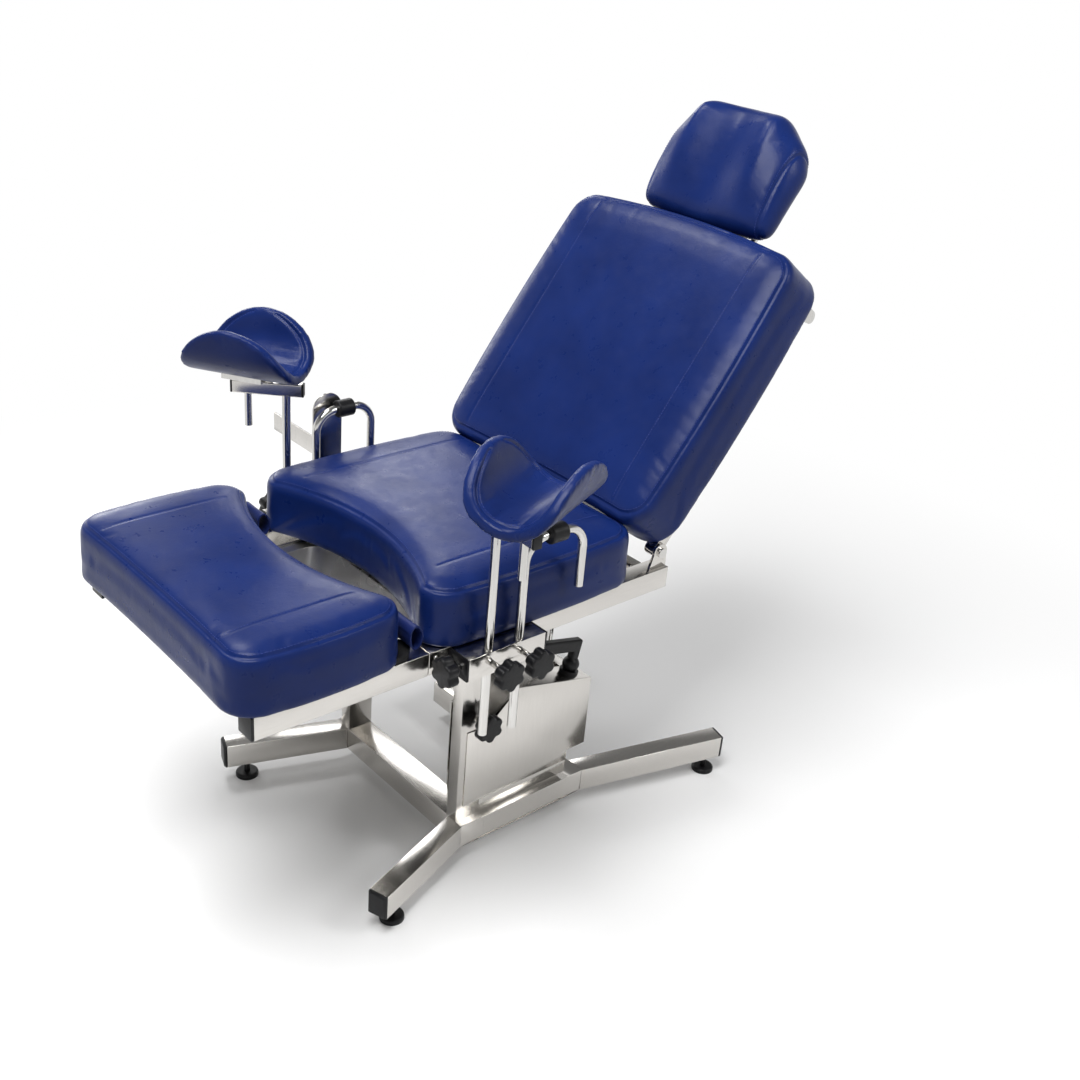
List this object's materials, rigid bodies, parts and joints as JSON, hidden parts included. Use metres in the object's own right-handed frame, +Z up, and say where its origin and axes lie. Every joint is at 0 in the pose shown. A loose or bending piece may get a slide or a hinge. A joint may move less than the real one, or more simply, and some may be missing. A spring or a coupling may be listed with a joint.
{
  "type": "gynecological chair",
  "caption": "Gynecological examination chair with tilting seat, pull-out leg section, reclining back, headrest, basin, padded leg holders and hand grips on a splayed steel base.",
  "frame": {"origin": "on the floor under the middle of the chair's box", "axes": "+X to the chair's right-hand side in the picture (the side with the housing), +Y from the leg section to the head, +Z up"},
  "size_m": [0.9763, 1.356, 1.3356],
  "materials": {
    "stainless_steel": "satin polished stainless steel",
    "bright_steel": "bright polished round steel",
    "black_plastic": "satin black moulded plastic",
    "blue_leatherette": "fine-grained satin leatherette",
    "leatherette_loop": "leatherette band, dark inside",
    "black_board": "black coated board",
    "dark_cylinder": "black enamelled cylinder"
  },
  "bodies": {
    "base": {"base_beams": "stainless_steel", "base_legs": "stainless_steel", "leg_end_caps": "black_plastic", "levelling_feet": "black_plastic", "uprights": "stainless_steel", "tilt_shaft": "bright_steel", "housing_panels": "stainless_steel", "housing_cover": "stainless_steel", "housing_plinth": "stainless_steel"},
    "gas_cylinder": {"gas_spring_body": "dark_cylinder"},
    "gas_rod": {"gas_spring_rod": "bright_steel"},
    "lever": {"release_lever": "black_plastic"},
    "tilt_clamp": {"tilt_knob": "black_plastic"},
    "seat": {"seat_rails": "stainless_steel", "seat_cross_members": "stainless_steel", "pivot_plates": "stainless_steel", "seat_board": "black_board", "seat_cushion": "blue_leatherette", "clamp_blocks": "stainless_steel", "block_caps": "black_plastic", "basin_runners": "stainless_steel", "back_hinge_plates": "stainless_steel", "back_hinge_pins": "bright_steel", "side_bracket": "stainless_steel"},
    "basin": {"basin": "stainless_steel"},
    "leg_section": {"leg_rails": "stainless_steel", "leg_rail_caps": "black_plastic", "leg_cross_bars": "stainless_steel", "leg_board": "black_board", "leg_cushion": "blue_leatherette", "leatherette_loops": "leatherette_loop"},
    "back": {"back_side_bars": "stainless_steel", "back_members": "stainless_steel", "back_board": "black_board", "back_cushion": "blue_leatherette", "headrest_guides": "stainless_steel", "paper_roll_holder": "bright_steel"},
    "headrest": {"headrest_posts": "bright_steel", "headrest_board": "black_board", "headrest_cushion": "blue_leatherette"},
    "holder_pole_right": {"holder_rod_right": "bright_steel"},
    "holder_arm_right": {"holder_bar_right": "stainless_steel", "holder_bar_caps_right": "black_plastic"},
    "cradle_right": {"holder_saddle_right": "bright_steel", "holder_cradle_right": "blue_leatherette"},
    "grip_right": {"hand_grip_right": "bright_steel", "grip_collar_right": "black_plastic"},
    "holder_clamp_right": {"holder_knob_right": "black_plastic"},
    "grip_clamp_right": {"grip_knob_right": "black_plastic"},
    "block_clamp_right": {"block_knob_right": "black_plastic"},
    "holder_pole_left": {"holder_rod_left": "bright_steel"},
    "holder_arm_left": {"holder_bar_left": "stainless_steel", "holder_bar_caps_left": "black_plastic"},
    "cradle_left": {"holder_saddle_left": "bright_steel", "holder_cradle_left": "blue_leatherette"},
    "grip_left": {"hand_grip_left": "bright_steel", "grip_collar_left": "black_plastic"},
    "holder_clamp_left": {"holder_knob_left": "black_plastic"},
    "grip_clamp_left": {"grip_knob_left": "black_plastic"},
    "block_clamp_left": {"block_knob_left": "black_plastic"}
  },
  "joints": [
    {"name": "seat_tilt", "type": "hinge", "parent": "base", "child": "seat", "pos_m": [0, -0.14652, 0.47], "axis": [1, 0, 0], "range_deg": [-8, 8]},
    {"name": "spring_swing", "type": "hinge", "parent": "base", "child": "gas_cylinder", "pos_m": [0.123, 0.07798, 0.13], "axis": [1, 0, 0], "range_deg": [-3, 3]},
    {"name": "spring_stroke", "type": "slide", "parent": "gas_cylinder", "child": "gas_rod", "axis": [0, 0.0808, 0.9967], "range_m": [-0.05, 0.05]},
    {"name": "release_turn", "type": "hinge", "parent": "base", "child": "lever", "pos_m": [0.168, 0.11198, 0.30672], "axis": [0, 0.2293, 0.9734], "range_deg": [-25, 25]},
    {"name": "tilt_knob_turn", "type": "hinge", "parent": "base", "child": "tilt_clamp", "pos_m": [0.195, -0.13402, 0.305], "axis": [1, 0, 0], "continuous": true},
    {"name": "basin_pull", "type": "slide", "parent": "seat", "child": "basin", "axis": [0, -1, 0], "range_m": [0, 0.18]},
    {"name": "leg_pull", "type": "slide", "parent": "seat", "child": "leg_section", "axis": [0, -1, 0], "range_m": [0, 0.1]},
    {"name": "back_recline", "type": "hinge", "parent": "seat", "child": "back", "pos_m": [0, 0.22269, 0.58738], "axis": [1, 0, 0], "range_deg": [-45, 0]},
    {"name": "headrest_raise", "type": "slide", "parent": "back", "child": "headrest", "axis": [0, 0.6018, 0.7986], "range_m": [0, 0.08]},
    {"name": "holder_raise_right", "type": "slide", "parent": "seat", "child": "holder_pole_right", "axis": [0, 0, 1], "range_m": [0, 0.12]},
    {"name": "holder_swivel_right", "type": "hinge", "parent": "holder_pole_right", "child": "holder_arm_right", "pos_m": [0.316, -0.22802, 0.788], "axis": [0, 0, 1], "range_deg": [-50, 50]},
    {"name": "cradle_turn_right", "type": "hinge", "parent": "holder_arm_right", "child": "cradle_right", "pos_m": [0.3879, -0.23179, 0.813], "axis": [0, 0, 1], "range_deg": [-60, 60]},
    {"name": "grip_raise_right", "type": "slide", "parent": "seat", "child": "grip_right", "axis": [0, 0, 1], "range_m": [-0.06, 0]},
    {"name": "holder_knob_turn_right", "type": "hinge", "parent": "seat", "child": "holder_clamp_right", "pos_m": [0.328, -0.22802, 0.534], "axis": [1, 0, 0], "continuous": true},
    {"name": "grip_knob_turn_right", "type": "hinge", "parent": "seat", "child": "grip_clamp_right", "pos_m": [0.328, -0.16202, 0.534], "axis": [1, 0, 0], "continuous": true},
    {"name": "block_knob_turn_right", "type": "hinge", "parent": "seat", "child": "block_clamp_right", "pos_m": [0.308, -0.27602, 0.534], "axis": [0, -1, 0], "continuous": true},
    {"name": "holder_raise_left", "type": "slide", "parent": "seat", "child": "holder_pole_left", "axis": [0, 0, 1], "range_m": [0, 0.12]},
    {"name": "holder_swivel_left", "type": "hinge", "parent": "holder_pole_left", "child": "holder_arm_left", "pos_m": [-0.316, -0.22802, 0.788], "axis": [0, 0, 1], "range_deg": [-90, 20]},
    {"name": "cradle_turn_left", "type": "hinge", "parent": "holder_arm_left", "child": "cradle_left", "pos_m": [-0.36418, -0.28153, 0.813], "axis": [0, 0, 1], "range_deg": [-60, 60]},
    {"name": "grip_raise_left", "type": "slide", "parent": "seat", "child": "grip_left", "axis": [0, 0, 1], "range_m": [-0.06, 0]},
    {"name": "holder_knob_turn_left", "type": "hinge", "parent": "seat", "child": "holder_clamp_left", "pos_m": [-0.328, -0.22802, 0.534], "axis": [-1, 0, 0], "continuous": true},
    {"name": "grip_knob_turn_left", "type": "hinge", "parent": "seat", "child": "grip_clamp_left", "pos_m": [-0.328, -0.16202, 0.534], "axis": [-1, 0, 0], "continuous": true},
    {"name": "block_knob_turn_left", "type": "hinge", "parent": "seat", "child": "block_clamp_left", "pos_m": [-0.308, -0.27602, 0.534], "axis": [0, -1, 0], "continuous": true}
  ],
  "couplings": [
    {"joint": "spring_swing", "follows": "seat_tilt", "ratio": 0.1324},
    {"joint": "spring_stroke", "follows": "seat_tilt", "m_per_rad": 0.25071}
  ]
}
